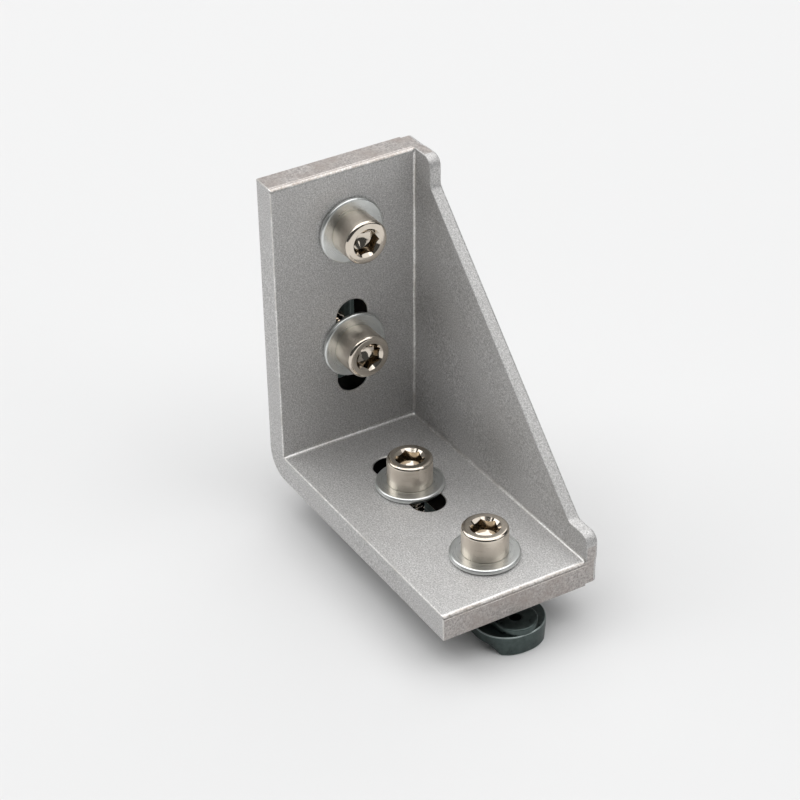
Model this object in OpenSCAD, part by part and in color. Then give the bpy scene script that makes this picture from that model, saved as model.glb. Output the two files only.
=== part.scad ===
// Profile angle bracket: a die-cast corner bracket with one web, and the screws, washers
// and slot nuts that clamp it to two slotted rails. X runs along the lower leg, Z up the
// upright leg, and Y = 0 is the middle plane of the holes. The origin is the point where
// the two mounting faces would meet at the heel.

/* [Legs] */
// Length of each leg, from the other leg's mounting face
leg_length = 60; // [58:1:100]
// Thickness of both legs
leg_thickness = 5; // [3:0.5:8]
// Width over the legs and the web at the heel
heel_width = 30; // [27:0.5:45]
// Radius round the outside of the heel
heel_radius = 5; // [1:0.5:6]
// Fillet where the two legs meet inside
corner_fillet = 0.6; // [0.2:0.1:2]
// Radius along the inner edge of each leg's end
end_round = 0.9; // [0.3:0.1:1.5]
// Draft of the open side, in degrees away from the heel
open_draft = 0.5; // [0:0.1:2]

/* [Web] */
// Thickness of the web that closes one side
web_thickness = 2.4; // [1.5:0.1:4]
// Draft of the web, in degrees away from the heel
web_draft = 1; // [0:0.1:2]
// How far the web's edges lie behind the mounting faces
web_setback = 0.4; // [0.1:0.1:1]
// Height of the web's toes above the legs
toe_rise = 5; // [2:0.5:8]
// Length of each toe along its leg
toe_length = 5.5; // [3:0.5:9]
// Radius of the toe's outer corner
toe_round = 2.2; // [0.5:0.1:3]
// Fillet where a toe runs into the sloping edge
toe_fillet = 1.5; // [0.5:0.1:4]

/* [Holes] */
// Diameter of the round holes and width of the slots
hole_width = 6.4; // [5.6:0.1:7]
// Distance of a round hole from the end of its leg
hole_from_end = 11.5; // [9:0.5:13]
// Distance of a slot's middle from the other leg's mounting face
slot_at = 24; // [22:0.5:26]
// Length of a slot from end to end
slot_length = 19; // [14:0.5:21]
// Where the screw sits in the lower leg's slot, from the slot's middle
lower_shift = 0.3; // [-3:0.1:2.5]
// Where the screw sits in the upright's slot, from the slot's middle
upright_shift = 0.6; // [-3:0.1:2.5]
// Where the screw sits in the lower leg's round hole, as a share of its play
lower_seat = 0.6; // [-0.9:0.1:0.9]
// Where the screw sits in the upright's round hole, as a share of its play
upright_seat = -0.8; // [-0.9:0.1:0.9]

/* [Screws] */
// Thread diameter
screw_d = 5; // [4:0.5:5.5]
// Length under the head
screw_length = 12; // [10:1:16]
// Diameter of the head
head_d = 8.3; // [7.5:0.1:10]
// Height of the head
head_h = 5; // [4:0.1:6]
// Radius round the top of the head
head_round = 0.6; // [0.1:0.05:0.8]
// Bevel round the foot of the head
foot_bevel = 0.15; // [0.05:0.05:0.3]
// Width across the flats of the hexagon socket
socket_af = 4; // [3:0.1:4.5]
// Depth of the hexagon socket
socket_depth = 2.6; // [1.5:0.1:3.5]
// Width of the bevel round the socket's mouth
socket_bevel = 0.3; // [0.05:0.05:0.5]
// Slope of the socket's drilled bottom, in degrees
drill_slope = 30; // [10:1:35]
// Bevel at the tip of the thread
tip_bevel = 0.6; // [0.2:0.1:1]

/* [Washers] */
// Outside diameter of a washer
washer_d = 12.5; // [10:0.5:15]
// Thickness of a washer
washer_t = 1; // [0.5:0.1:2]
// Room between the thread and a washer, all round
washer_room = 0.15; // [0.05:0.05:0.4]
// Radius of a washer's stamped edges
washer_edge = 0.25; // [0.05:0.05:0.4]

/* [Slot nuts] */
// Room between a mounting face and the necks of its nuts
neck_room = 2.1; // [2.1:0.1:4]
// Width of the neck that fits between the lips of the rail
neck_width = 7.6; // [6.4:0.1:7.9]
// Height of the neck above the shoulders
neck_h = 1.2; // [0.5:0.1:2]
// Width of a nut across the slot
nut_width = 13; // [9:0.5:16]
// Thickness of a nut with its neck
nut_t = 5; // [4.2:0.1:8]
// Length of a nut from its thread to the short end
nut_nose = 7.5; // [5:0.5:9]
// Length of a nut from its thread to the round tail
nut_tail = 13.5; // [9:0.5:15]
// Bevel along the underside of a nut
nut_bevel = 2; // [0.5:0.1:3]
// Radius of a nut's tail corners, seen from above
nut_round = 6; // [1:0.5:6.5]
// Room between the thread and a nut, all round
thread_room = 0.1; // [0.05:0.05:0.2]
// Diameter of the spring pocket in a nut's tail
pocket_d = 2.2; // [1:0.1:3]
// Depth of the spring pocket
pocket_depth = 2; // [0.5:0.1:3]
// Distance of the spring pocket from the tip of the tail
pocket_from_tip = 4; // [3:0.5:6]

/* [Hidden] */
$fn = 96;

// Length by which a cutting shape runs past what it cuts
over = 5;
// The pull of the mould lies halfway between the two legs
pull_angle = 45;
// The slot, or the hole, that each of a leg's two screws goes through
SLOT = 0;
HOLE = 1;
// Turn of the hexagon sockets in degrees, for the slot and the hole of each leg
lower_turns = [48, 45];
upright_turns = [4, 30];
hexagon = 6;

toe_height = leg_thickness + toe_rise;
toe_start = leg_length - toe_length;
hole_at = leg_length - hole_from_end;
hole_play = (hole_width - screw_d) / 2;
head_seat = leg_thickness + washer_t;
reach = leg_length * 2;
nut_length = nut_nose + nut_tail;

// Place of one screw along its leg
function screw_at(upright, place) =
    place == HOLE
        ? hole_at + (upright ? upright_seat : lower_seat) * hole_play
        : slot_at + (upright ? upright_shift : lower_shift);

// Turns what is drawn for the lower leg into its twin on the upright
module on_leg(upright) {
    if (upright)
        mirror([1, 0, -1]) children();
    else
        children();
}

// Puts a child on the axis of every screw, with its own Z out of the leg and 0 on the mounting face,
// and tells it which leg and which hole it is at
module at_each_screw() {
    for ($upright = [false, true])
        for ($place = [SLOT, HOLE])
            on_leg($upright)
                translate([screw_at($upright, $place), 0, 0])
                    children();
}

// What a radius takes off a corner at the origin whose material lies in the positive quarter
module corner_waste(radius) {
    difference() {
        translate([-over, -over])
            square(radius + over);
        translate([radius, radius])
            circle(radius);
    }
}

// Draws an outline of the X Z plane across the whole width
module across(outline_width) {
    rotate([90, 0, 0])
        linear_extrude(outline_width, center = true)
            children();
}

// Slab between two drafted planes: each has its place at the heel and its slope along the pull
module drafted_slab(from_y, from_slope, to_y, to_slope) {
    near = -over;
    far = reach;
    rotate([0, -pull_angle, 0])
        linear_extrude(2 * reach, center = true)
            polygon([
                [near, from_y + from_slope * near],
                [far, from_y + from_slope * far],
                [far, to_y + to_slope * far],
                [near, to_y + to_slope * near],
            ]);
}

open_y = -heel_width / 2;
open_slope = -tan(open_draft);
web_out_y = heel_width / 2;
web_in_y = web_out_y - web_thickness;
web_slope = tan(web_draft);

// Side view of the two legs, with the heel, the inner corner and the ends rounded
module legs_outline() {
    difference() {
        union() {
            square([leg_length, leg_thickness]);
            square([leg_thickness, leg_length]);
            difference() {
                square(leg_thickness + corner_fillet);
                translate([leg_thickness + corner_fillet, leg_thickness + corner_fillet])
                    circle(corner_fillet);
            }
        }
        corner_waste(heel_radius);
        translate([leg_length, leg_thickness])
            rotate(180)
                corner_waste(end_round);
        translate([leg_thickness, leg_length])
            rotate(180)
                corner_waste(end_round);
    }
}

// Rounds the inner corner between a toe and the sloping edge
module toe_kink() {
    bend = (180 - pull_angle) / 2;
    kink_run = toe_fillet / tan(bend);
    translate([toe_start, toe_height])
        difference() {
            polygon([
                [-kink_run * cos(pull_angle), kink_run * sin(pull_angle)],
                [0, -toe_fillet],
                [kink_run, 0],
            ]);
            translate([kink_run, toe_fillet])
                circle(toe_fillet);
        }
}

// Side view of the web: a triangle whose two ends are squared into toes
module web_outline() {
    difference() {
        union() {
            polygon([
                [0, 0],
                [leg_length, 0],
                [leg_length, toe_height],
                [toe_start, toe_height],
                [toe_height, toe_start],
                [toe_height, leg_length],
                [0, leg_length],
            ]);
            toe_kink();
            mirror([1, -1])
                toe_kink();
        }
        corner_waste(heel_radius);
        translate([leg_length, toe_height])
            rotate(180)
                corner_waste(toe_round);
        translate([toe_height, leg_length])
            rotate(180)
                corner_waste(toe_round);
    }
}

// Strip along both mounting faces that the web stays behind
module setback_outline() {
    translate([-over, -over])
        square([reach, web_setback + over]);
    translate([-over, -over])
        square([web_setback + over, reach]);
}

// Round hole and slot of one leg, cut square through it
module leg_holes() {
    slot_half = slot_length / 2 - hole_width / 2;
    translate([0, 0, -over]) {
        depth = leg_thickness + 2 * over;
        translate([hole_at, 0, 0])
            cylinder(depth, d = hole_width);
        for (end = [-1, 1])
            translate([slot_at + end * slot_half, 0, 0])
                cylinder(depth, d = hole_width);
        translate([slot_at - slot_half, -hole_width / 2, 0])
            cube([2 * slot_half, hole_width, depth]);
    }
}

// One casting: two legs, the web that braces them, and two holes in each leg
module bracket() {
    color("darkgray")
        difference() {
            union() {
                intersection() {
                    across(reach)
                        legs_outline();
                    drafted_slab(open_y, open_slope, web_out_y, web_slope);
                }
                intersection() {
                    across(reach)
                        web_outline();
                    drafted_slab(web_in_y, web_slope, web_out_y, web_slope);
                }
            }
            intersection() {
                across(reach)
                    setback_outline();
                drafted_slab(web_in_y, web_slope, web_out_y + over, web_slope);
            }
            for (upright = [false, true])
                on_leg(upright)
                    leg_holes();
        }
}

// Hexagon socket with a bevelled mouth and a drilled bottom, down from the top of the head
module socket(turn) {
    flat_r = socket_af / 2;
    corner_r = flat_r / cos(180 / hexagon);
    mouth_r = corner_r + socket_bevel;
    point_depth = flat_r * tan(drill_slope);
    rotate(turn)
        translate([0, 0, -socket_depth])
            cylinder(socket_depth + over, r = corner_r, $fn = hexagon);
    translate([0, 0, flat_r - mouth_r])
        cylinder(mouth_r - flat_r, flat_r, mouth_r);
    translate([0, 0, -socket_depth - point_depth])
        cylinder(point_depth, 0, flat_r);
}

// Socket-head cap screw, seated on its washer, with the thread left as a plain shank
module cap_screw(turn) {
    thread_r = screw_d / 2;
    head_r = head_d / 2;
    tip = head_seat - screw_length;
    top = head_seat + head_h;
    difference() {
        rotate_extrude()
            difference() {
                polygon([
                    [0, tip],
                    [thread_r - tip_bevel, tip],
                    [thread_r, tip + tip_bevel],
                    [thread_r, head_seat],
                    [head_r - foot_bevel, head_seat],
                    [head_r, head_seat + foot_bevel],
                    [head_r, top],
                    [0, top],
                ]);
                translate([head_r, top])
                    rotate(180)
                        corner_waste(head_round);
            }
        translate([0, 0, top])
            socket(turn);
    }
}

module cap_screws() {
    color("gainsboro")
        at_each_screw()
            cap_screw($upright ? upright_turns[$place] : lower_turns[$place]);
}

// Half section of a washer, with its four stamped edges rounded
module washer_section() {
    hole_r = screw_d / 2 + washer_room;
    width = washer_d / 2 - hole_r;
    translate([hole_r, leg_thickness]) {
        translate([washer_edge, 0])
            square([width - 2 * washer_edge, washer_t]);
        translate([0, washer_edge])
            square([width, washer_t - 2 * washer_edge]);
        for (x = [washer_edge, width - washer_edge])
            for (z = [washer_edge, washer_t - washer_edge])
                translate([x, z])
                    circle(washer_edge);
    }
}

module washers() {
    color("lightgray")
        at_each_screw()
            rotate_extrude()
                washer_section();
}

// Outline of a nut from above, square at the nose and rounded at the tail
module nut_outline(width, radius) {
    difference() {
        translate([-nut_nose, -width / 2])
            square([nut_length, width]);
        for (side = [0, 1])
            mirror([0, side])
                translate([nut_tail, width / 2])
                    rotate(180)
                        corner_waste(radius);
    }
}

// Slot nut under a mounting face: a neck, two shoulders and a bevelled underside, with its tail along X
module slot_nut() {
    half = nut_width / 2;
    top = -neck_room;
    shoulder = top - neck_h;
    bottom = top - nut_t;
    difference() {
        union() {
            translate([0, 0, shoulder])
                linear_extrude(neck_h)
                    nut_outline(neck_width, neck_width / 2);
            intersection() {
                translate([-nut_nose, 0, 0])
                    rotate([90, 0, 90])
                        linear_extrude(nut_length)
                            polygon([
                                [-half, shoulder],
                                [half, shoulder],
                                [half, bottom + nut_bevel],
                                [half - nut_bevel, bottom],
                                [nut_bevel - half, bottom],
                                [-half, bottom + nut_bevel],
                            ]);
                translate([0, 0, bottom])
                    linear_extrude(nut_t - neck_h)
                        nut_outline(nut_width, nut_round);
            }
        }
        translate([0, 0, bottom - over])
            cylinder(nut_t + 2 * over, r = screw_d / 2 + thread_room);
        translate([nut_tail - pocket_from_tip, 0, top - pocket_depth])
            cylinder(pocket_depth + over, d = pocket_d);
    }
}

// Only the nut at the lower leg's hole has its tail away from the heel, where it shows past the leg's end
function tail_turn(upright, place) = place == HOLE && !upright ? 0 : 180;

module slot_nuts() {
    color("slategray")
        at_each_screw()
            rotate(tail_turn($upright, $place))
                slot_nut();
}

bracket();
cap_screws();
washers();
slot_nuts();
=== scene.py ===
# %% [markdown]
# # Profile angle bracket
#
# A die-cast aluminium corner bracket with one web, held by four socket-head cap screws with flat
# washers and slot nuts. The CAD frame gives the main sizes and every place. This lesson dresses
# the frame: the casting gets rounded edges and a blasted skin, the screws get real threads and
# sockets, and a small studio lights them the way the photograph was lit.

import math

import bmesh
import bpy
import numpy as np
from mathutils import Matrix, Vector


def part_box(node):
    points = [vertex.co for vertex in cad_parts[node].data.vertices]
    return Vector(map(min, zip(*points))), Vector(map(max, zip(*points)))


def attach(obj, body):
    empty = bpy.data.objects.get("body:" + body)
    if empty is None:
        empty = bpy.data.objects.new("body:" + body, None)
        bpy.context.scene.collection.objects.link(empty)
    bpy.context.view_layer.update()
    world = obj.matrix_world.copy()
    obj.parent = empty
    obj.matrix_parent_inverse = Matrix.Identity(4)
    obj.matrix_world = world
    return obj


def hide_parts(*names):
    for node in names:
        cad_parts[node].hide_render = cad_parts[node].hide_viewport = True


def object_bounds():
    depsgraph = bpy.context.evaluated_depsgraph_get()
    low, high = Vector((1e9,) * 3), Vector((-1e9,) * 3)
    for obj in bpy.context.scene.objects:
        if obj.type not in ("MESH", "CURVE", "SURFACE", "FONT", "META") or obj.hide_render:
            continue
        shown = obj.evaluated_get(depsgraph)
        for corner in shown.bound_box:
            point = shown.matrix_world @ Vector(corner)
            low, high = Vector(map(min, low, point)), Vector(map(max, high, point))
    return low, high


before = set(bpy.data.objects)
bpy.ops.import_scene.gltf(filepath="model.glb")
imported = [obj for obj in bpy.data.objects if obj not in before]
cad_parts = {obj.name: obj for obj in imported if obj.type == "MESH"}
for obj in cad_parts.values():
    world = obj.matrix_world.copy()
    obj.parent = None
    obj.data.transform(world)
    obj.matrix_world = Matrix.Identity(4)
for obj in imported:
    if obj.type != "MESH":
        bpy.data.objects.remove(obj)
cad_low, cad_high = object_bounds()
MM = 0.001
print("CAD box in mm:", [round((b - a) / MM, 2) for a, b in zip(cad_low, cad_high)])

# %% [markdown]
# ## One way to colour, one way to wire
#
# Colours are easiest to read off a photograph as sRGB hex, while shaders work in linear light, so
# one function turns the first into the second. Node trees are wired by hand in the editor. In
# code the same few lines would repeat for every node, so one small function adds a node of any
# kind, sets its properties, and fills or links its inputs.

# %% Colour and node helpers
def linear(hex_colour):
    """sRGB hex to linear RGBA: each channel is undone by the sRGB curve."""
    srgb = np.array([int(hex_colour[i:i + 2], 16) for i in (1, 3, 5)]) / 255
    light = np.where(srgb <= 0.04045, srgb / 12.92, ((srgb + 0.055) / 1.055) ** 2.4)
    return (*light.tolist(), 1.0)


def add_node(tree, kind, inputs, **settings):
    """Adds a node, sets its properties, then gives each named input a value or a link."""
    made = tree.nodes.new(kind)
    for key, value in settings.items():
        setattr(made, key, value)
    for socket, value in inputs.items():
        if isinstance(value, bpy.types.NodeSocket):
            tree.links.new(value, made.inputs[socket])
        else:
            made.inputs[socket].default_value = value
    return made


def new_material(name):
    """An empty material, its node tree and its output node."""
    material = bpy.data.materials.new(name)
    material.use_nodes = True
    material.node_tree.nodes.clear()
    output = material.node_tree.nodes.new("ShaderNodeOutputMaterial")
    return material, material.node_tree, output


print("aluminium grey in linear light:", [round(c, 3) for c in linear("#BDBBB7")])

# %% [markdown]
# ## The casting's metal
#
# The bracket is die-cast aluminium that was grit-blasted after trimming. Blasting leaves shallow
# dents a quarter of a millimetre wide, so the metal is dull and grainy, with tiny sparkles where a
# dent faces the light. An image texture would have to be unwrapped, and noise on Object
# coordinates needs no unwrapping and keeps its size in millimetres. The same recipe, with other
# numbers, gives the rubbed edges, whose light tone also lies on the inner fillets as a painted
# highlight, the trimmed ends, the torn edge that the trimming shear leaves, lightened as a painted
# highlight, and the hole walls, darkened almost to black as painted shade.

# %% A recipe for die-cast aluminium
STAIN_GRAINS = 14


def cast_aluminium(name, dark, light, stain, stain_share, grain, roughness, dent):
    """Metal whose colour runs from dark to light with the grain, under wide stains, dented by the grain.

    grain is the width of a dent and dent its depth, both in mm. A stain is STAIN_GRAINS dents wide.
    roughness is its lowest and its highest value.
    """
    material, tree, output = new_material(name)
    place = add_node(tree, "ShaderNodeTexCoord", {}).outputs["Object"]
    dents = add_node(tree, "ShaderNodeTexNoise", {
        "Vector": place, "Scale": 1 / (grain * MM), "Detail": 2.0, "Roughness": 0.6})
    cloud = add_node(tree, "ShaderNodeTexNoise", {
        "Vector": place, "Scale": 1 / (STAIN_GRAINS * grain * MM), "Detail": 4.0, "Roughness": 0.65})
    contrast = add_node(tree, "ShaderNodeMapRange", {
        "Value": dents.outputs["Fac"], "From Min": 0.3, "From Max": 0.7})
    patch = add_node(tree, "ShaderNodeMapRange", {
        "Value": cloud.outputs["Fac"], "From Min": 0.42, "From Max": 0.68, "To Max": stain_share})
    # Sockets 6 and 7 of a colour Mix are its two colours, and output 2 is the mixed colour
    grained = add_node(tree, "ShaderNodeMix", {
        0: contrast.outputs[0], 6: linear(dark), 7: linear(light)}, data_type="RGBA")
    stained = add_node(tree, "ShaderNodeMix", {
        0: patch.outputs[0], 6: grained.outputs[2], 7: linear(stain)}, data_type="RGBA")
    dullness = add_node(tree, "ShaderNodeMapRange", {
        "Value": dents.outputs["Fac"], "From Min": 0.3, "From Max": 0.7,
        "To Min": roughness[0], "To Max": roughness[1]})
    relief = add_node(tree, "ShaderNodeBump", {
        "Height": dents.outputs["Fac"], "Distance": dent * MM, "Strength": 1.0})
    metal = add_node(tree, "ShaderNodeBsdfPrincipled", {
        "Base Color": stained.outputs[2], "Metallic": 1.0,
        "Roughness": dullness.outputs[0], "Normal": relief.outputs[0]})
    tree.links.new(metal.outputs[0], output.inputs["Surface"])
    return material


print("a stain is", STAIN_GRAINS, "dents wide")

# %% Five finishes of it
CASTING_FINISHES = [
    # Blasted skin: dull, finely grained and almost neutral
    cast_aluminium(
        "blasted_cast_aluminium", "#A7A6A5", "#E9E8E7", "#B6B3B0", 0.12, 0.24, (0.52, 0.68), 0.035),
    # Rubbed edges: the grain is worn down, so they catch the light as a bright line. On the inner
    # fillets the same light tone is a painted highlight
    cast_aluminium(
        "rubbed_and_highlight_cast_aluminium", "#C4C3C1", "#F7F6F4", "#B7B2AC", 0.60, 0.30, (0.30, 0.46), 0.035),
    # Trimmed ends: sheared after casting, with a pinkish brown bloom in cloudy patches
    cast_aluminium(
        "trimmed_cast_aluminium", "#938E8B", "#D0CBC8", "#A99F99", 0.7, 0.36, (0.40, 0.58), 0.05),
    # Sheared edge of an end: a ragged line lightened as a painted highlight, brown where flux burnt on
    cast_aluminium(
        "sheared_highlight_cast_aluminium", "#C4BBB2", "#FEFCFA", "#9C8875", 0.3, 0.42, (0.42, 0.66), 0.10),
    # Hole walls: darkened almost to black as painted shade in the recess
    cast_aluminium(
        "shade_darkened_hole_wall_aluminium", "#171615", "#2B2928", "#100F0E", 0.5, 0.34, (0.50, 0.65), 0.02),
]
SKIN, RUBBED_AND_HIGHLIGHT, TRIMMED, SHEARED_HIGHLIGHT, PAINTED_SHADE_WALL = range(len(CASTING_FINISHES))
print("casting finishes:", [m.name for m in CASTING_FINISHES])

# %% [markdown]
# ## Skins from rings
#
# Every piece here is a stack of rings: the row number walks along a profile and the column number
# walks round an outline or an axis. One function turns any such grid of points into a closed mesh.
# Points that fall on each other are merged, so a ring that shrinks to the axis closes as a pole,
# and rows that lie on each other vanish.

# %% Ring skin
MERGE = 0.0005 * MM


def merge_doubles(mesh, distance=MERGE):
    """Joins points that lie closer than a distance and turns all faces outwards."""
    shape = bmesh.new()
    shape.from_mesh(mesh)
    bmesh.ops.remove_doubles(shape, verts=shape.verts, dist=distance)
    bmesh.ops.recalc_face_normals(shape, faces=shape.faces)
    shape.to_mesh(mesh)
    shape.free()


def ring_skin(name, rings, materials, finish=None, closed=False, run=None):
    """Closed mesh over rings[row, column] in mm.

    Each quad joins a point to the next one in its ring and to the same two in the next row. A closed
    profile joins its last row to its first, and an open one gets a flat cap on each end. finish is a
    material number for each quad. run is the length along the profile in mm, and with it the mesh
    gets a UV of turns round the axis and that length.
    """
    rows, columns = rings.shape[:2]
    index = np.arange(rows * columns).reshape(rows, columns)
    here = index if closed else index[:-1]
    ahead = np.roll(index, -1, axis=0) if closed else index[1:]
    quads = np.stack([here, np.roll(here, -1, 1), np.roll(ahead, -1, 1), ahead], -1).reshape(-1, 4)
    caps = [] if closed else [index[0, ::-1].tolist(), index[-1].tolist()]
    mesh = bpy.data.meshes.new(name)
    mesh.from_pydata(rings.reshape(-1, 3) * MM, [], quads.tolist() + caps)
    for material in materials:
        mesh.materials.append(material)
    if finish is not None:
        numbers = np.append(np.ravel(finish), [0] * len(caps)).astype(np.int32)
        mesh.polygons.foreach_set("material_index", numbers)
    if run is not None:
        turns = np.arange(columns) / columns
        u = np.stack([turns, turns + 1 / columns, turns + 1 / columns, turns], -1)
        v = np.stack([run[:-1], run[:-1], run[1:], run[1:]], -1)
        uv = np.stack(np.broadcast_arrays(u[None], v[:, None]), -1).reshape(-1, 2)
        uv = np.append(uv, np.zeros((columns * len(caps), 2)), axis=0)
        mesh.uv_layers.new(name="turned").data.foreach_set("uv", uv.astype(np.float32).ravel())
    merge_doubles(mesh)
    return mesh


print("points closer than", MERGE / MM, "mm become one")


# %% Arcs and straight lines
def arc(centre_x, centre_z, radius, start, end, steps):
    """Points on a circle from one angle to another in degrees, the last one left out.

    radius may be an array, one for each point.
    """
    angle = np.radians(np.linspace(start, end, steps, endpoint=False))
    return np.stack([centre_x + radius * np.cos(angle), centre_z + radius * np.sin(angle)], -1)


def straight(from_x, from_z, to_x, to_z, steps):
    """Points from one place to another in even steps, the last one left out."""
    share = np.linspace(0, 1, steps, endpoint=False)[:, None]
    return np.array([from_x, from_z]) * (1 - share) + np.array([to_x, to_z]) * share


print("quarter arc sample:", np.round(arc(0, 0, 1.0, 0, 90, 3), 2).tolist())

# %% [markdown]
# ## The casting
#
# A casting has no knife edges: metal doesn't fill them, and blasting rounds what it does fill. A
# Bevel modifier on the CAD copy breaks down where short arcs meet holes, so the casting is drawn
# as a stack of outlines across its width instead: the L of the two legs, a fillet that grows out
# of it where the web starts, then the web's own outline. Rounding an edge is then just a few rows in
# which the outline shrinks along a quarter circle. Both drafts tilt the rows along the pull.

# %% Measures of the casting
# The washers lie on the legs' faces, and the bracket's box stops at the legs' ends
LEG_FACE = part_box("washers")[0][0] / MM
LEG_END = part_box("bracket")[1][2] / MM
OPEN_Y, WEB_IN_Y, WEB_OUT_Y = -15.0, 12.6, 15.0
OPEN_SLOPE, WEB_SLOPE = -math.tan(math.radians(0.5)), math.tan(math.radians(1))
HEEL_R, CORNER_R, END_R = 5.0, 0.6, 0.9
SETBACK, TOE_RISE, TOE_LENGTH, TOE_R, TOE_FILLET = 0.4, 5.0, 5.5, 2.2, 1.5
OPEN_ROUND, SEAM_ROUND, WEB_IN_ROUND, WEB_OUT_ROUND, BACK_ROUND = 0.22, 0.4, 0.2, 0.5, 0.8
TOE_TOP = LEG_FACE + TOE_RISE
# Centre of the fillet that touches both the toe's top and the slope, which meet at 135 degrees
KINK_X = LEG_END - TOE_LENGTH + TOE_FILLET / math.tan(math.radians(67.5))
KINK_Z = TOE_TOP + TOE_FILLET
ARC_X, ARC_Z = LEG_END - END_R, LEG_FACE - END_R
# Angle on the end's round at which the seam's fillet reaches the end face
SEAM_LEAVES = math.degrees(math.acos(END_R / (END_R + SEAM_ROUND)))
COLUMNS = {"heel": 8, "mount": 36, "end": 6, "end_low": 5, "end_edge": 6, "end_arc": 14,
           "toe": 5, "kink": 8, "inside": 28, "corner": 6}
print("leg", round(LEG_END, 2), "x", round(LEG_FACE, 2), "mm, kink centre", round(KINK_X, 2), KINK_Z)


# %% The outline of the legs
def both_halves(half):
    """An outline from its half: the other half is its mirror image in the plane halfway between the legs."""
    return np.concatenate([half, half[::-1, ::-1]])


def end_heights(lowest):
    """Heights of the points up the end face: the lowest two mark the setback."""
    return np.append([lowest, max(lowest, SETBACK)], np.linspace(SETBACK, ARC_Z, 6)[1:-1])


def legs_outline(inset, grow):
    """The L of the legs, inset all round, with its inner side grown outwards by the seam's fillet.

    Every arc keeps its centre while its radius changes, so the outline stays a true offset. What
    grows past the legs' ends is cut back to them.
    """
    n = COLUMNS
    inner = inset - grow
    heights = end_heights(inset)
    half = np.concatenate([
        arc(HEEL_R, HEEL_R, HEEL_R - inset, 225, 270, n["heel"]),
        straight(HEEL_R, inset, LEG_END - inset, inset, n["mount"]),
        np.stack([np.full(len(heights), LEG_END - inset), heights], -1),
        arc(ARC_X, ARC_Z, END_R - inner, 0, SEAM_LEAVES, n["end_low"]),
        arc(ARC_X, ARC_Z, END_R - inner, SEAM_LEAVES, 90, n["end_edge"] + n["end_arc"]),
        straight(ARC_X, LEG_FACE - inner, LEG_FACE + CORNER_R, LEG_FACE - inner,
                 n["toe"] + n["kink"] + n["inside"]),
        arc(LEG_FACE + CORNER_R, LEG_FACE + CORNER_R, CORNER_R + inner, 270, 225, n["corner"]),
        arc(LEG_FACE + CORNER_R, LEG_FACE + CORNER_R, CORNER_R + inner, 225, 0, 1),
    ])
    return both_halves(np.minimum(half, LEG_END - inset))


legs_ring = legs_outline(0.0, 0.0)
print("legs:", len(legs_ring), "columns, reach", np.round(legs_ring.max(0), 2).tolist())


# %% The outline of the web
def web_outline(inset):
    """The web's triangle with its squared toes, inset by an amount that may differ from column to column."""
    n = COLUMNS
    # The slope takes up both the inside's and the corner's columns
    stops = np.cumsum(list(n.values()))[:-2]
    inset = np.broadcast_to(inset, (sum(n.values()) + 1,))
    heel, mount, end, low, edge, toe_arc, toe, kink, slope = np.split(inset, stops)
    seam_r = END_R + SEAM_ROUND
    low_z = ARC_Z + seam_r * np.sin(np.radians(np.linspace(0, SEAM_LEAVES, n["end_low"], False)))
    edge_from = ARC_Z + seam_r * math.sin(math.radians(SEAM_LEAVES))
    edge_z = np.linspace(edge_from, TOE_TOP - TOE_R, n["end_edge"], False)
    mount_x = HEEL_R + (LEG_END - mount - HEEL_R) * np.linspace(0, 1, n["mount"], False)
    share = np.linspace(0, 1, len(slope))
    middle = (LEG_END - TOE_LENGTH + TOE_TOP) / 2
    slope_x = (KINK_X - TOE_FILLET / math.sqrt(2)) * (1 - share) + middle * share
    slope_z = (KINK_Z - TOE_FILLET / math.sqrt(2)) * (1 - share) + middle * share
    half = np.concatenate([
        np.maximum(arc(HEEL_R, HEEL_R, HEEL_R - heel, 225, 270, n["heel"]), SETBACK + heel[:, None]),
        np.stack([mount_x, SETBACK + mount], -1),
        np.stack([LEG_END - end, np.maximum(end_heights(SETBACK), SETBACK + end)], -1),
        np.stack([LEG_END - low, low_z], -1),
        np.stack([LEG_END - edge, edge_z], -1),
        arc(LEG_END - TOE_R, TOE_TOP - TOE_R, TOE_R - toe_arc, 0, 90, n["end_arc"]),
        np.stack([np.linspace(LEG_END - TOE_R, KINK_X, n["toe"], False), TOE_TOP - toe], -1),
        arc(KINK_X, KINK_Z, TOE_FILLET + kink, 270, 225, n["kink"]),
        np.stack([slope_x - slope / math.sqrt(2), slope_z - slope / math.sqrt(2)], -1),
    ])
    return both_halves(half)


web_ring = web_outline(0.0)
print("web:", len(web_ring), "columns, reaches", np.round(web_ring.max(0), 2).tolist())

# %% [markdown]
# ### Rows across the width
#
# Real cast edges are not perfectly even, so the round along the web's inner edge, which catches the
# light, wanders by a few hundredths of a millimetre. Noise on the mesh would roughen the flats as
# well, and a radius that differs from column to column leaves them alone. The rows are then listed
# from the open side to the web's back.

# %% A round that wanders
MEAN_COLUMNS = 5


def uneven(size, share):
    """A radius that wanders round the outline: its size times 1 plus three sine waves of uneven length.

    The waves' heights add up to 2.2, so the radius strays by no more than the share.
    """
    place = np.linspace(0, 2 * np.pi, len(legs_ring), endpoint=False)
    wander = np.sin(7 * place + 1) + 0.7 * np.sin(17 * place + 4) + 0.5 * np.sin(41 * place + 2)
    return size * (1 + share * wander / 2.2)


def softened(steps):
    """The mean of each column and its two neighbours on each side, so that a step becomes a ramp."""
    return np.convolve(
        np.pad(steps, MEAN_COLUMNS // 2, "edge"), np.ones(MEAN_COLUMNS) / MEAN_COLUMNS, "valid")


half_names = np.repeat(list(COLUMNS), list(COLUMNS.values()))
half_names = np.append(half_names, "corner")
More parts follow.
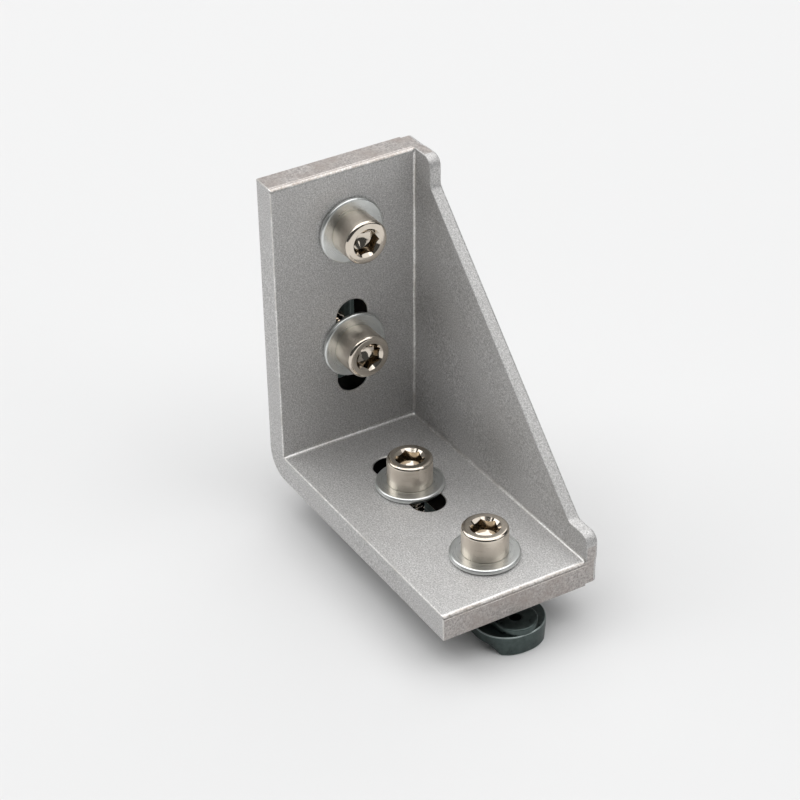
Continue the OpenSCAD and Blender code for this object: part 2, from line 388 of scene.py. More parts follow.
# The shear tears an end's round along two lines, drawn as bands of painted highlight, and leaves what
# lies between them as smooth as the end. Past the upper line, the round is rubbed
BETWEEN_TEARS, PAST_TEARS = slice(1, 3), slice(0, 6)
half_names[np.flatnonzero(half_names == "end_low")[BETWEEN_TEARS]] = "end"
half_names[np.flatnonzero(half_names == "end_arc")[PAST_TEARS]] = "end_rub"
column_names = np.concatenate([half_names, half_names[::-1]])
on_inside = ~np.isin(column_names, ["heel", "mount", "end", "end_low"])
web_in_round = softened(np.where(on_inside, 1.0, 0.0)) * on_inside
web_in_round = web_in_round * uneven(WEB_IN_ROUND, 0.2)
web_out_round = softened(np.where(on_inside, WEB_OUT_ROUND, BACK_ROUND))
print("web's inner round up to", round(float(web_in_round.max()), 3), "mm")


# %% Stack the outlines
def tilted(outline, level, slope):
    """Points of an outline at a level that tilts along the pull, halfway between X and Z."""
    return np.stack([outline[:, 0], level + slope * outline.sum(1) / math.sqrt(2), outline[:, 1]], -1)


QUARTER = np.linspace(0, np.pi / 2, 6)
half_columns = len(half_names)
rows, row_names = [], []
for angle in QUARTER:
    shrink = OPEN_ROUND * (1 - math.sin(angle))
    rows.append(tilted(legs_outline(shrink, 0.0), OPEN_Y + OPEN_ROUND * (1 - math.cos(angle)), OPEN_SLOPE))
    row_names.append("open_round")
for share in np.linspace(0, 1, 8)[1:-1]:
    level = OPEN_Y * (1 - share) + WEB_IN_Y * share
    rows.append(tilted(legs_ring, level, OPEN_SLOPE * (1 - share) + WEB_SLOPE * share))
    row_names.append("legs")
for angle in QUARTER:
    grown = legs_outline(0.0, SEAM_ROUND * (1 - math.cos(angle)))
    rows.append(tilted(grown, WEB_IN_Y - SEAM_ROUND * (1 - math.sin(angle)), WEB_SLOPE))
    row_names.append("legs" if angle == 0 else "seam")
web_start = web_outline(web_in_round[:half_columns])
for share in np.linspace(0, 1, 5)[1:-1]:
    between = legs_outline(0.0, SEAM_ROUND) * (1 - share) + web_start * share
    rows.append(tilted(between, WEB_IN_Y, WEB_SLOPE))
    row_names.append("web_face")
for angle in QUARTER:
    ring = web_outline((web_in_round * (1 - math.sin(angle)))[:half_columns])
    rows.append(tilted(ring, WEB_IN_Y + web_in_round * (1 - math.cos(angle)), WEB_SLOPE))
    row_names.append("web_face" if angle == 0 else "web_round")
for angle in QUARTER:
    ring = web_outline((web_out_round * (1 - math.cos(angle)))[:half_columns])
    rows.append(tilted(ring, WEB_OUT_Y - web_out_round * (1 - math.sin(angle)), WEB_SLOPE))
    row_names.append("web_edge" if angle == 0 else "back_round")
rings = np.array(rows)
row_names = np.array(row_names)
print("casting grid:", rings.shape[:2])

# %% [markdown]
# ### Which face wears which finish
#
# Painting the finishes on by place would need masks that know where every edge lies. The rows and
# columns of the grid know it already: each carries the name of the form that it draws, so a finish
# is given to all faces whose row and column have the right names.

# %% Finish of each face, and the solid casting
# A face between two columns takes the name of the one that comes first in its own half
quad_columns = np.concatenate([half_names, half_names[-2::-1], half_names[:1]])
quad_rows, quad_columns = np.broadcast_arrays(row_names[1:, None], quad_columns)
finish = np.full(quad_rows.shape, SKIN)
# Open edges are worn; the seam's concave fillet, which nothing rubs, gets the light tone as a painted
# highlight
finish[np.isin(quad_rows, ["open_round", "seam"])] = RUBBED_AND_HIGHLIGHT
# The inner corner's fillet takes it as a painted highlight, and the end's upper round as wear
finish[(quad_rows == "legs") & np.isin(quad_columns, ["corner", "end_rub"])] = RUBBED_AND_HIGHLIGHT
# The sheared bands carry the painted highlight of the shear's lines
finish[(quad_rows == "legs") & (quad_columns == "end_edge")] = SHEARED_HIGHLIGHT
finish[np.isin(quad_rows, ["legs", "seam"]) & (quad_columns == "end_low")] = SHEARED_HIGHLIGHT
finish[np.isin(quad_rows, ["legs", "seam", "web_face", "web_edge"]) & (quad_columns == "end")] = TRIMMED
finish[(quad_rows == "web_edge") & np.isin(quad_columns, ["end_low", "end_edge"])] = TRIMMED
casting_mesh = ring_skin("casting", rings, CASTING_FINISHES, finish)
print("casting before its holes:", len(casting_mesh.polygons), "faces")

# %% [markdown]
# ### Holes
#
# The slots and holes are cut square through the legs, and blasting rounds their rims. A cutter
# that flares at both ends leaves exactly that round, so no bevel is needed afterwards. The cutter
# is a stack of rings as well: a stretched circle whose radius grows near the two faces. Its faces
# bring their own finishes along, so the walls come out dark with painted shade and the rims rubbed.

# %% Flared cutters
HOLE_W, HOLE_FROM_END, SLOT_AT, SLOT_LENGTH = 6.4, 11.5, 24.0, 19.0
INNER_FLARE, MOUNT_FLARE, CUT_PAST = 0.25, 0.15, 1.5
HOLE_TURNS = 64


def hole_cutter(name, upright, at, stretch):
    """A circle stretched along the leg, carried from past one of its faces to past the other.

    Near each face its radius grows by a quarter circle.
    """
    rise = np.concatenate([
        [-CUT_PAST], MOUNT_FLARE * (1 - np.cos(QUARTER)),
        LEG_FACE - INNER_FLARE + INNER_FLARE * np.sin(QUARTER), [LEG_FACE + CUT_PAST]])
    wider = np.concatenate([
        [MOUNT_FLARE], MOUNT_FLARE * (1 - np.sin(QUARTER)),
        INNER_FLARE * (1 - np.cos(QUARTER)), [INNER_FLARE]])
    turn = np.linspace(0, 2 * np.pi, HOLE_TURNS, endpoint=False)
    radius = HOLE_W / 2 + wider[:, None]
    along = at + np.sign(np.cos(turn).round(6)) * stretch / 2 + radius * np.cos(turn)
    across = radius * np.sin(turn)
    out = np.broadcast_to(rise[:, None], along.shape)
    ring = np.stack([out, across, along] if upright else [along, across, out], -1)
    numbers = np.full((len(rise) - 1, len(turn)), RUBBED_AND_HIGHLIGHT)
    # The wall rows wear the near-black painted shade of the holes
    numbers[len(QUARTER)] = PAINTED_SHADE_WALL
    return bpy.data.objects.new(name, ring_skin(name, ring, CASTING_FINISHES, numbers))


cutters = []
for upright in (False, True):
    leg = "upright" if upright else "lower"
    cutters.append(hole_cutter(f"{leg}_hole", upright, LEG_END - HOLE_FROM_END, 0.0))
    cutters.append(hole_cutter(f"{leg}_slot", upright, SLOT_AT, SLOT_LENGTH - HOLE_W))
print("cutters:", [cutter.name for cutter in cutters])

# %% Cut the holes
# The wandering round leaves a slit of 2 thousandths of a millimetre where the outline's halves meet.
# It is closed after the cut, because the solver misses a slot when it is closed before
SLIT = 0.003 * MM


def cut(mesh, cutters):
    """A new mesh with every cutter taken out of the given one, closed again along its seams.

    The helper objects are removed at the end.
    """
    solid = bpy.data.objects.new("solid", mesh)
    helpers = [solid, *cutters]
    for helper in helpers:
        bpy.context.scene.collection.objects.link(helper)
    for cutter in cutters:
        step = solid.modifiers.new(cutter.name, "BOOLEAN")
        step.operation, step.solver, step.object = "DIFFERENCE", "EXACT", cutter
    made = bpy.data.meshes.new_from_object(solid.evaluated_get(bpy.context.evaluated_depsgraph_get()))
    for helper in helpers:
        bpy.data.objects.remove(helper)
    merge_doubles(made, SLIT)
    return made


casting_mesh = cut(casting_mesh, cutters)
print("casting with its holes:", len(casting_mesh.polygons), "faces")

# %% [markdown]
# ### Into the frame
#
# Smooth shading alone would bend the look of a flat face towards the round beside it. Weighted
# normals let the largest face at each point win, so flats stay flat and only the rounds turn.

# %% Put the casting in the frame
SHARP_TURN = math.radians(40)


def dress(name, mesh, node):
    """A finished piece in the scene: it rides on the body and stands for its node."""
    mesh.shade_smooth()
    mesh.set_sharp_from_angle(angle=SHARP_TURN)
    piece = bpy.data.objects.new(name, mesh)
    bpy.context.scene.collection.objects.link(piece)
    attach(piece, "root")
    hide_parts(node)
    even = piece.modifiers.new("flat_faces_stay_flat", "WEIGHTED_NORMAL")
    even.keep_sharp = True
    print(name, len(mesh.polygons), "faces")


dress("casting", casting_mesh, "bracket")

# %% [markdown]
# ## Where the screws sit
#
# Every washer in the frame marks a screw's axis. Typing the four places in again could drift
# from the CAD, so they are measured: the washers on the lower leg lie low, those on the upright
# lie close to its face, and a wide gap along the leg parts the two of each leg.

# %% Measure the seats
def node_points(node):
    """All points of a CAD node in mm."""
    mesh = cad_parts[node].data
    found = np.empty(len(mesh.vertices) * 3)
    mesh.vertices.foreach_get("co", found)
    return found.reshape(-1, 3) / MM


washer_points = node_points("washers")
WASHER_T = 1.0
SEAT = LEG_FACE + WASHER_T
CLOSE = 0.01
seats = []
for upright in (False, True):
    out_axis, along_axis = (0, 2) if upright else (2, 0)
    on_this_leg = washer_points[washer_points[:, out_axis] < SEAT + CLOSE]
    along = np.sort(on_this_leg[:, along_axis])
    split = np.argmax(np.diff(along)) + 1
    for place, group in (("slot", along[:split]), ("hole", along[split:])):
        seats.append((upright, place, (group[0] + group[-1]) / 2))
WASHER_D = np.ptp(washer_points[:, 1])
print("seats:", [(u, p, round(float(a), 2)) for u, p, a in seats], "washer", round(float(WASHER_D), 2))

# %% Turn a local grid onto its leg
def on_leg(local, upright, at):
    """Turns local points (sideways, across, out of the leg) into part coordinates, without mirroring."""
    side, across, out = local[..., 0], local[..., 1], local[..., 2]
    if upright:
        return np.stack([out, across, at - side], -1)
    return np.stack([at + side, across, out], -1)


print("a point 1 mm out of the upright at 20 mm:", on_leg(np.array([0.0, 0.0, 1.0]), True, 20).tolist())

# %% [markdown]
# ## The washers
#
# Flat washers are stamped from zinc-plated strip, with slightly rounded edges and a bluish grey
# shine. The section is a rectangle with four small arcs, carried once round the axis. Washers and
# screws both show faint streaks round their axes, so one recipe, laid out on a UV of turns and
# length, gives the zinc of the first and the nickel of the second.

# %% A recipe for plated steel
STREAKS_A_TURN, TONE_CLOUD = 6.0, 1.6


def plated_steel(name, dark, light, roughness, streak, depth):
    """Plated metal with faint streaks round the axis: noise stretched along the turns of its UV.

    streak is the width of a streak along the profile and depth its relief, in mm. The tone follows
    clouds TONE_CLOUD mm wide.
    """
    material, tree, output = new_material(name)
    turned = add_node(tree, "ShaderNodeUVMap", {}, uv_map="turned").outputs[0]
    place = add_node(tree, "ShaderNodeTexCoord", {}).outputs["Object"]
    stretched = add_node(tree, "ShaderNodeMapping", {
        "Vector": turned, "Scale": (STREAKS_A_TURN, 1 / streak, 1.0)})
    streaks = add_node(tree, "ShaderNodeTexNoise", {
        "Vector": stretched.outputs[0], "Scale": 1.0, "Detail": 3.0})
    cloud = add_node(tree, "ShaderNodeTexNoise", {
        "Vector": place, "Scale": 1 / (TONE_CLOUD * MM), "Detail": 3.0})
    tone = add_node(tree, "ShaderNodeMix", {
        0: cloud.outputs["Fac"], 6: linear(dark), 7: linear(light)}, data_type="RGBA")
    dullness = add_node(tree, "ShaderNodeMapRange", {
        "Value": streaks.outputs["Fac"], "From Min": 0.3, "From Max": 0.7,
        "To Min": roughness[0], "To Max": roughness[1]})
    relief = add_node(tree, "ShaderNodeBump", {
        "Height": streaks.outputs["Fac"], "Distance": depth * MM, "Strength": 1.0})
    metal = add_node(tree, "ShaderNodeBsdfPrincipled", {
        "Base Color": tone.outputs[2], "Metallic": 1.0,
        "Roughness": dullness.outputs[0], "Normal": relief.outputs[0]})
    tree.links.new(metal.outputs[0], output.inputs["Surface"])
    return material


print("streaks round a turn:", STREAKS_A_TURN)

# %% Zinc and nickel plate
# Zinc: bright blue-grey with a soft shine
zinc_plate = plated_steel("zinc_plated_steel", "#CFD2D0", "#EDEFED", (0.25, 0.37), 0.12, 0.0015)
# Nickel on a head's top and on the thread: warm and close to a mirror, with faint rings from the die
nickel_plate = plated_steel("nickel_plated_steel", "#CFC4B5", "#E4DBCF", (0.05, 0.12), 0.10, 0.001)
# Nickel on the socket's walls: darker and browner as painted shade, so the walls fall off to dark
socket_shade_plate = plated_steel("shade_darkened_socket_nickel", "#7C705F", "#AA9D8A", (0.09, 0.18), 0.15, 0.001)
# Nickel on a head's side: the drawn wire's surface shows through as a satin sheen
satin_plate = plated_steel("drawn_satin_nickel", "#CFC4B5", "#E4DBCF", (0.27, 0.35), 0.10, 0.001)
SCREW_FINISHES = [nickel_plate, socket_shade_plate, satin_plate]
POLISHED, SOCKET_SHADE, SATIN = range(len(SCREW_FINISHES))
print("plated:", zinc_plate.name, [m.name for m in SCREW_FINISHES])

# %% Four flat washers
WASHER_HOLE_D = 5.3
WASHER_EDGE = 0.4
ROUND_TURNS = 96


def washer(name, upright, at):
    """A rounded rectangle revolved about the screw's axis: four quarter arcs joined by straight sides."""
    inner, outer = WASHER_HOLE_D / 2 + WASHER_EDGE, WASHER_D / 2 - WASHER_EDGE
    low, high = LEG_FACE + WASHER_EDGE, SEAT - WASHER_EDGE
    corner_r = np.repeat([outer, inner, inner, outer], len(QUARTER))
    corner_z = np.repeat([high, high, low, low], len(QUARTER))
    angle = (QUARTER + np.arange(4)[:, None] * np.pi / 2).ravel()
    radius = corner_r + WASHER_EDGE * np.cos(angle)
    height = corner_z + WASHER_EDGE * np.sin(angle)
    turn = np.arange(ROUND_TURNS) * 2 * np.pi / ROUND_TURNS
    local = np.stack(np.broadcast_arrays(
        radius[:, None] * np.cos(turn), radius[:, None] * np.sin(turn), height[:, None]), -1)
    steps = np.hypot(np.diff(np.append(radius, radius[0])), np.diff(np.append(height, height[0])))
    run = np.append(0, np.cumsum(steps))
    return ring_skin(name, on_leg(local, upright, at), [zinc_plate], closed=True, run=run)


for upright, place, at in seats:
    name = f"washer_{'upright' if upright else 'lower'}_{place}"
    dress(name, washer(name, upright, at), "washers")

# %% [markdown]
# ## The cap screws
#
# M5 socket-head cap screws are cold-formed: a cylinder head with a rounded rim, a hexagon socket
# punched over a drilled hole, and a rolled thread. The whole screw is one grid. Inside the socket
# the radius follows the hexagon, on the head it is round, and on the thread it rises and falls
# with a helix, so the same rows and columns serve all three.

# %% The screw's measures
HEAD_D = float(np.ptp(node_points("cap_screws")[:, 1]))
HEAD_H, HEAD_ROUND, FOOT_BEVEL = 5.0, 0.6, 0.15
SOCKET_AF, SOCKET_DEPTH, SOCKET_BEVEL, DRILL_SLOPE = 4.4, 2.4, 0.22, 30
SCREW_D, SCREW_LENGTH, PITCH, TIP_BEVEL = 5.0, 12.0, 0.8, 0.6
MOUTH_R = SOCKET_AF / 2 / math.cos(math.pi / 6) + SOCKET_BEVEL
# A metric thread takes 1.2269 pitches off the diameter
ROOT_D = SCREW_D - 1.2269 * PITCH
# Degrees that each socket is turned by
HEX_TURNS = {(False, "slot"): 48, (False, "hole"): 45, (True, "slot"): 4, (True, "hole"): 30}
# The last two are the numbers of rows in the socket's floor and in the head's side
SCREW_COLUMNS, FLOOR_ROWS, SIDE_ROWS = 96, 3, 5
print("thread M5 x 0.8, root diameter", round(ROOT_D, 2))


# %% Socket and head
def socket(turn, hex_turn):
    """Rows of (radius, height) from the drilled point of the socket up to the lip of its mouth.

    The radius is the flat's distance over the cosine of the angle from that flat's middle, which
    draws a hexagon. The mouth is a cone, so its lip lies deeper at the flats than at the corners.
    """
    top = SEAT + HEAD_H
    flat = SOCKET_AF / 2
    floor = top - SOCKET_DEPTH
    point = floor - flat * math.tan(math.radians(DRILL_SLOPE))
    around = np.ones_like(turn)
    hexagon = flat / np.cos((turn - hex_turn) % (np.pi / 3) - np.pi / 6)
    lip = top - (MOUTH_R - hexagon)
    rows = [(flat * share * around, (point + (floor - point) * share) * around) for share in (0, 0.5, 0.995)]
    rows += [(hexagon, floor + (lip - floor) * share) for share in (0, 0.04, 0.35, 0.7, 0.97, 1.0)]
    return rows


def head(lip_radius, lip_height):
    """Rows from the socket's lip over the mouth's cone, the flat ring, the rim and the side to the foot.

    The rim is a quarter circle. A row close beside each edge keeps the shading of a round off a flat.
    """
    top = SEAT + HEAD_H
    side = HEAD_D / 2
    rim = side - HEAD_ROUND
    around = np.ones_like(lip_radius)
    rows = [(lip_radius + (MOUTH_R - lip_radius) * share, lip_height + (top - lip_height) * share)
            for share in (0.06, 0.5, 0.94)]
    rows += [(r * around, top * around) for r in (MOUTH_R, MOUTH_R + 0.06, (MOUTH_R + rim) / 2, rim)]
    rows += [((rim + HEAD_ROUND * math.sin(a)) * around, (top - HEAD_ROUND * (1 - math.cos(a))) * around)
             for a in np.linspace(0, np.pi / 2, 9)[1:]]
    rows += [(side * around, h * around) for h in (SEAT + 3.0, SEAT + 1.5, SEAT + FOOT_BEVEL + 0.05)]
    rows += [(side * around, (SEAT + FOOT_BEVEL) * around), ((side - FOOT_BEVEL) * around, SEAT * around)]
    return rows


print("head", round(HEAD_D, 2), "mm across, mouth of its socket", round(2 * MOUTH_R, 2), "mm")

# %% Thread and tip
ROWS_A_PITCH = 10
ROOT_FLAT, FLANK = 0.2, 0.65
PLAIN_NECK, FADE_LENGTH = 0.6, 0.8


def thread_radius(height, turn):
    """Radius of a right-hand thread: a triangle wave of the phase, cut flat at the crest and the root.

    The phase is the height over the pitch less the turns round the axis. The flat at the root and
    the flank above it are shares of the wave's height.
    """
    wave = 1 - 2 * np.abs((height / PITCH - turn / (2 * np.pi)) % 1 - 0.5)
    ridge = np.clip((wave - ROOT_FLAT) / FLANK, 0, 1)
    return ROOT_D / 2 + ridge * (SCREW_D - ROOT_D) / 2


def thread_and_tip(turn):
    """Rows from under the head to the tip.

    The thread fades in under the head, and a cone cuts it at the tip.
    """
    tip = SEAT - SCREW_LENGTH
    height = np.arange(SEAT, tip, -PITCH / ROWS_A_PITCH)[:, None]
    fade = np.clip((SEAT - PLAIN_NECK - height) / FADE_LENGTH, 0, 1)
    pitch_r = (SCREW_D + ROOT_D) / 4
    radius = pitch_r + (thread_radius(height, turn) - pitch_r) * fade
    radius = np.minimum(radius, SCREW_D / 2 - TIP_BEVEL + np.maximum(height - tip, 0))
    rows = [(r, h * np.ones_like(turn)) for r, h in zip(radius, height[:, 0])]
    end_r = SCREW_D / 2 - TIP_BEVEL
    rows += [(end_r * share * np.ones_like(turn), tip * np.ones_like(turn)) for share in (1.0, 0.5, 0.0)]
    return rows


print("rows along a screw's thread:", round(SCREW_LENGTH / PITCH * ROWS_A_PITCH))


# %% Four cap screws
def cap_screw(name, upright, place, at):
    """The head's rows and the thread's rows in one grid, set out of the leg at the seat."""
    hex_turn = math.radians(HEX_TURNS[upright, place])
    if upright:
        hex_turn = math.pi - hex_turn
    turn = hex_turn + np.arange(SCREW_COLUMNS) * 2 * np.pi / SCREW_COLUMNS
    socket_rows = socket(turn, hex_turn)
    head_rows = socket_rows + head(*socket_rows[-1])
    rows = head_rows + thread_and_tip(turn)
    radius = np.array([row[0] for row in rows])
    height = np.array([row[1] for row in rows])
    local = np.stack([radius * np.cos(turn), radius * np.sin(turn), height], -1)
    run = np.append(0, np.cumsum(np.hypot(np.diff(radius[:, 0]), np.diff(height[:, 0]))))
    finish = np.full((len(rows) - 1, SCREW_COLUMNS), POLISHED)
    # The socket's walls wear the nickel darkened as painted shade; its floor stays polished
    finish[FLOOR_ROWS:len(socket_rows) - 1] = SOCKET_SHADE
    finish[len(head_rows) - SIDE_ROWS - 1:len(head_rows)] = SATIN
    return ring_skin(name, on_leg(local, upright, at), SCREW_FINISHES, finish, run=run)


for upright, place, at in seats:
    name = f"cap_screw_{'upright' if upright else 'lower'}_{place}"
    dress(name, cap_screw(name, upright, place, at), "cap_screws")

# %% [markdown]
# ## The slot nuts
#
# The nuts are pressed and zinc-plated, and most of each is hidden. A nut is one closed profile:
# from the bore over the underside, up the sides, across the shoulders, over the neck and back down
# the thread. Its outline changes from row to row, and tumbling rounds each edge by a fifth of a
# millimetre and leaves it lighter. The zinc of the faces is darkened as painted shade.

# %% Tumbled zinc in two finishes
ZINC_CLOUD, ZINC_RELIEF = 0.9, 0.01


def tumbled_zinc(name, dark, light):
    """Zinc-plated steel whose tone, shine and relief follow clouds about a millimetre wide."""
    material, tree, output = new_material(name)
    place = add_node(tree, "ShaderNodeTexCoord", {}).outputs["Object"]
    cloud = add_node(tree, "ShaderNodeTexNoise", {
        "Vector": place, "Scale": 1 / (ZINC_CLOUD * MM), "Detail": 4.0})
    tone = add_node(tree, "ShaderNodeMix", {
        0: cloud.outputs["Fac"], 6: linear(dark), 7: linear(light)}, data_type="RGBA")
    dullness = add_node(tree, "ShaderNodeMapRange", {
        "Value": cloud.outputs["Fac"], "From Min": 0.3, "From Max": 0.7, "To Min": 0.26, "To Max": 0.44})
    relief = add_node(tree, "ShaderNodeBump", {
        "Height": cloud.outputs["Fac"], "Distance": ZINC_RELIEF * MM, "Strength": 1.0})
    metal = add_node(tree, "ShaderNodeBsdfPrincipled", {
        "Base Color": tone.outputs[2], "Metallic": 1.0,
        "Roughness": dullness.outputs[0], "Normal": relief.outputs[0]})
    tree.links.new(metal.outputs[0], output.inputs["Surface"])
    return material


NUT_FINISHES = [
    # Faces: bluish zinc with a dull shine, darkened as painted shade
    tumbled_zinc("shade_darkened_zinc_plated_steel", "#3C4443", "#616C6A"),
    # Edges: lighter zinc worn by tumbling, so they show as thin light lines beside the shaded faces
    tumbled_zinc("rubbed_zinc_plated_steel", "#7E8887", "#A8B1AF"),
]
NUT_SHADED_FACE, NUT_EDGE = range(len(NUT_FINISHES))
print("nut finishes:", [m.name for m in NUT_FINISHES])

# %% Measures and outlines of a nut
NUT_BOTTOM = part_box("slot_nuts")[0][2] / MM
NUT_W = float(np.ptp(node_points("slot_nuts")[:, 1]))
NUT_T, NECK_W, NECK_H, NUT_NOSE, NUT_TAIL = 5.0, 7.6, 1.2, 7.5, 13.5
NUT_BEVEL, NUT_ROUND, NOSE_CORNER, TUMBLED, EDGE_BAND = 2.0, 6.0, 0.4, 0.2, 0.12
THREAD_ROOM, CHAMFER = 0.06, 0.35


def nut_outline(width, tail_round, inset, limit):
    """Half a nut from above, from the tip of the tail round to the nose, then its mirror image.

    The tail's corner is an arc, the nose's corner a small one, and nothing reaches further across
    than the limit, which cuts the long sides back along the bevel underneath.
    """
    half = width / 2
    centre = NUT_TAIL - tail_round
    outline = np.concatenate([
        straight(NUT_TAIL - inset, 0.0, NUT_TAIL - inset, half - tail_round, 3),
        arc(centre, half - tail_round, tail_round - inset, 0, 90, 16),
        straight(centre, half - inset, NOSE_CORNER - NUT_NOSE, half - inset, 10),
        arc(NOSE_CORNER - NUT_NOSE, half - NOSE_CORNER, NOSE_CORNER - inset, 90, 180, 4),
        straight(inset - NUT_NOSE, half - NOSE_CORNER, inset - NUT_NOSE, 0.0, 6),
        straight(inset - NUT_NOSE, 0.0, 0.0, 0.0, 1),
    ])
    outline[:, 1] = np.minimum(outline[:, 1], limit)
    return np.concatenate([outline, outline[-2:0:-1] * (1, -1)])


print("nut from above:", np.round(np.ptp(nut_outline(NUT_W, NUT_ROUND, 0, NUT_W), axis=0), 2).tolist(), "mm")


# %% Rows of a nut
def tail_facing(upright, place):
    """1 where the nut's tail points along the local sideways axis, -1 where it points against it."""
    return 1 if upright or place == "hole" else -1


def slot_nut(name, upright, place, at):
    """Rows over the underside, up the sides, across the shoulders, over the neck and down the thread.

    The thread is the screw's own helix with a little room, so the two run in step.
    """
    facing = tail_facing(upright, place)
    top = NUT_BOTTOM + NUT_T
    shoulder = top - NECK_H
    flat = NUT_W / 2 - NUT_BEVEL
    # A row just inside each flat keeps the shading of the round off the flat
    edge = [(TUMBLED + EDGE_BAND, 0.0)]
    edge += [(TUMBLED * (1 - math.sin(a)), TUMBLED * (1 - math.cos(a))) for a in np.linspace(0, np.pi / 2, 4)]
    rows = [(nut_outline(NUT_W, NUT_ROUND, d, flat - d), NUT_BOTTOM + h) for d, h in edge]
    rows += [(nut_outline(NUT_W, NUT_ROUND, 0.0, NUT_W), NUT_BOTTOM + NUT_BEVEL)]
    rows += [(nut_outline(NUT_W, NUT_ROUND, d, NUT_W), shoulder - h) for d, h in edge[::-1]]
    rows += [(nut_outline(NECK_W, NECK_W / 2, 0.0, NECK_W), shoulder)]
    rows += [(nut_outline(NECK_W, NECK_W / 2, d, NECK_W), top - h) for d, h in edge[::-1]]
    plan = nut_outline(NECK_W, NECK_W / 2, 0.0, NECK_W)
    turn = np.arctan2(plan[:, 1], plan[:, 0])
    spoke = np.stack([np.cos(turn), np.sin(turn)], -1)
    mouth = SCREW_D / 2 + CHAMFER
    heights = np.arange(top - CHAMFER, NUT_BOTTOM + CHAMFER, -PITCH / ROWS_A_PITCH)
    bore = thread_radius(heights[:, None], turn if facing > 0 else turn + np.pi) + THREAD_ROOM
    rows += [((mouth + EDGE_BAND) * spoke, top), (mouth * spoke, top)]
    rows += [(r[:, None] * spoke, h) for r, h in zip(bore, heights)]
    rows += [(mouth * spoke, NUT_BOTTOM), ((mouth + EDGE_BAND) * spoke, NUT_BOTTOM)]
    plan_rows = np.array([row[0] for row in rows]) * facing
    levels = np.broadcast_to(np.array([row[1] for row in rows])[:, None, None], (*plan_rows.shape[:2], 1))
    local = np.concatenate([plan_rows, levels], -1)
    # Every face but the rubbed edges wears the zinc darkened as painted shade
    finish = np.full(plan_rows.shape[:2], NUT_SHADED_FACE)
    # The rounds under the sides and at the shoulders, without the row inside each flat
    for first in (1, len(edge) + 1):
        finish[first:first + len(edge) - 2] = NUT_EDGE
    return ring_skin(name, on_leg(local, upright, at), NUT_FINISHES, finish, closed=True)


print("tails point:", [tail_facing(upright, place) for upright, place, at in seats])

# %% Spring pocket, and four slot nuts
POCKET_D, POCKET_DEPTH, POCKET_FROM_TIP = 2.2, 2.0, 4.0
POCKET_POINT, POCKET_FLARE, FLARE_SHARE, POCKET_PAST = 0.5, 0.2, 1.18, 0.5
POCKET_TURNS = 32


def pocket_cutter(name, upright, place, at):
    """The spring pocket in the tail: a short cylinder with a drilled point and a flared mouth."""
    facing = tail_facing(upright, place)
    top = NUT_BOTTOM + NUT_T
    profile = np.array([
        (0, -POCKET_DEPTH - POCKET_POINT), (1, -POCKET_DEPTH), (1, -POCKET_FLARE),
        (FLARE_SHARE, 0), (FLARE_SHARE, POCKET_PAST), (0, POCKET_PAST)])
    turn = np.linspace(0, 2 * np.pi, POCKET_TURNS, endpoint=False)
    radius = profile[:, :1] * POCKET_D / 2
    centre = facing * (NUT_TAIL - POCKET_FROM_TIP)
    local = np.stack(np.broadcast_arrays(
        centre + radius * np.cos(turn), radius * np.sin(turn), top + profile[:, 1:]), -1)
    return bpy.data.objects.new(name, ring_skin(name, on_leg(local, upright, at), NUT_FINISHES))


for upright, place, at in seats:
    name = f"slot_nut_{'upright' if upright else 'lower'}_{place}"
    nut_mesh = cut(slot_nut(name, upright, place, at), [pocket_cutter(f"{name}_pocket", upright, place, at)])
    dress(name, nut_mesh, "slot_nuts")

# %% [markdown]
# ## The studio
#
# The photograph was lit by a wide soft light overhead and weaker ones round it, in a dim room
# over a white table. Faces that look up are bright, faces that look sideways mirror the table, and
# the inner corner, which mostly mirrors itself, goes dark. A bright world would light all of them
# alike, so the world stays dim and area lamps do the work: a large one overhead, and one each from
# the left, the back and the right. Each lamp was rendered alone first. Light adds up, so the watts
# of the mix could then be worked out instead of guessed. The lamps are large and far off, so the
# table is lit evenly a long way out and stays pale behind the object.

# %% Table
FLOOR_HALF = 3.0
floor_level = cad_low[2]
floor_mesh = bpy.data.meshes.new("studio_table")
floor_corners = np.array([(-1, -1, 0), (1, -1, 0), (1, 1, 0), (-1, 1, 0)]) * FLOOR_HALF
floor_mesh.from_pydata(floor_corners + (0, 0, floor_level), [], [(0, 1, 2, 3)])
studio_table = bpy.data.objects.new("studio_table", floor_mesh)
bpy.context.scene.collection.objects.link(studio_table)
white_card, card_tree, card_output = new_material("white_card")
card = add_node(card_tree, "ShaderNodeBsdfPrincipled", {
    "Base Color": linear("#E4E4E4"), "Roughness": 0.9, "Specular IOR Level": 0.1})
card_tree.links.new(card.outputs[0], card_output.inputs["Surface"])
floor_mesh.materials.append(white_card)
print("floor at", round(floor_level / MM, 2), "mm")


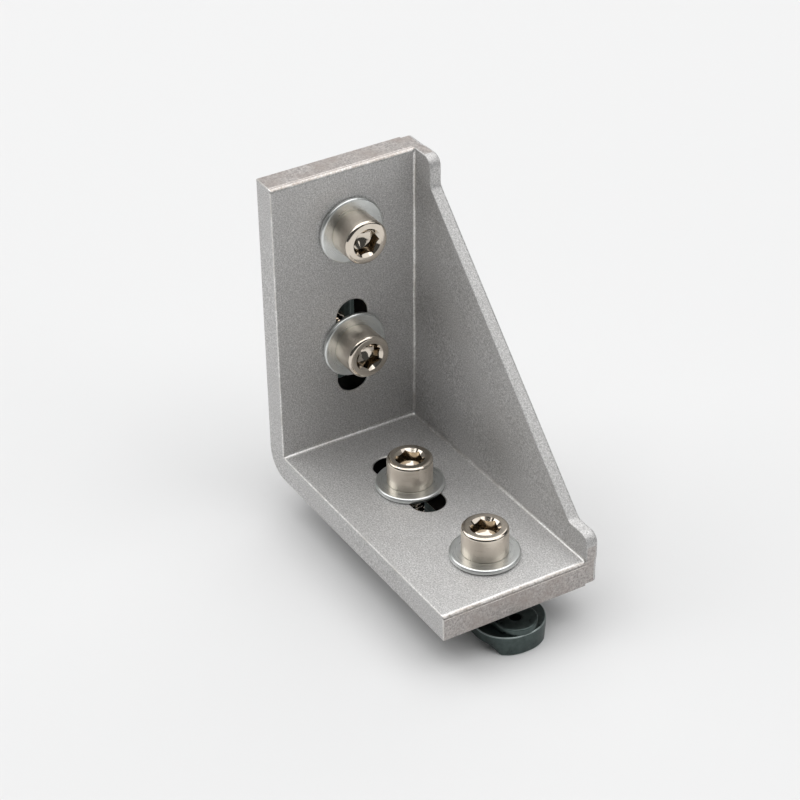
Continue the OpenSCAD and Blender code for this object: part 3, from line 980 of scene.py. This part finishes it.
# %% Lamps and world
def soft_box(name, place, aim, width, height, watts):
    """A rectangular lamp at place, in metres, that faces aim."""
    lamp = bpy.data.lights.new(name, "AREA")
    lamp.shape = "RECTANGLE"
    lamp.size, lamp.size_y, lamp.energy = width, height, watts
    made = bpy.data.objects.new(name, lamp)
    bpy.context.scene.collection.objects.link(made)
    made.location = place
    towards = Vector(aim) - Vector(place)
    made.rotation_euler = towards.to_track_quat("-Z", "Y").to_euler()
    print(name, watts, "W")


LIT_POINT = (0.02, 0.0, 0.02)
soft_box("overhead_soft_box", (0.08, -0.06, 2.66), LIT_POINT, 3.45, 3.45, 64.8)
soft_box("left_soft_box", (-1.54, -1.5, 2.06), LIT_POINT, 2.4, 2.4, 33.3)
soft_box("back_soft_box", (-1.54, 1.5, 2.06), LIT_POINT, 2.4, 2.4, 23.4)
soft_box("right_soft_box", (1.46, 1.5, 2.06), LIT_POINT, 2.4, 2.4, 18.9)
world = bpy.data.worlds.new("dim_room")
world.use_nodes = True
bpy.context.scene.world = world
room = world.node_tree.nodes["Background"]
room.inputs["Color"].default_value = linear("#D9DBDD")
room.inputs["Strength"].default_value = 0.10

# %% [markdown]
# ## The camera
#
# The view was worked out by matching the CAD edges to the photograph: a long lens from the right
# front and above, turned a little about its own axis. The turn is set from those three angles, so
# the camera's own axes are built as vectors and put into a matrix.

# %% Camera at the photograph's angle
AZIMUTH, ELEVATION, ROLL = math.radians(59.265), math.radians(33.256), math.radians(-0.857)
AIM = Vector((0.00188, 0.0115, 0.0065))
DISTANCE = 0.4916
LENS = 119.17

back = Vector((
    math.sin(AZIMUTH) * math.cos(ELEVATION), -math.cos(AZIMUTH) * math.cos(ELEVATION), math.sin(ELEVATION)))
level_right = Vector((math.cos(AZIMUTH), math.sin(AZIMUTH), 0))
level_up = back.cross(level_right)
right = math.cos(ROLL) * level_right + math.sin(ROLL) * level_up
up = math.cos(ROLL) * level_up - math.sin(ROLL) * level_right
camera = bpy.data.objects.new("camera", bpy.data.cameras.new("camera"))
bpy.context.scene.collection.objects.link(camera)
camera.data.lens = LENS
camera.data.sensor_width = 36
camera.data.clip_start = 0.01
camera.matrix_world = Matrix((right, up, back)).transposed().to_4x4()
camera.location = AIM + back * DISTANCE
bpy.context.scene.camera = camera
bpy.context.scene.view_settings.view_transform = "Standard"
print("camera at", [round(c, 4) for c in camera.location])
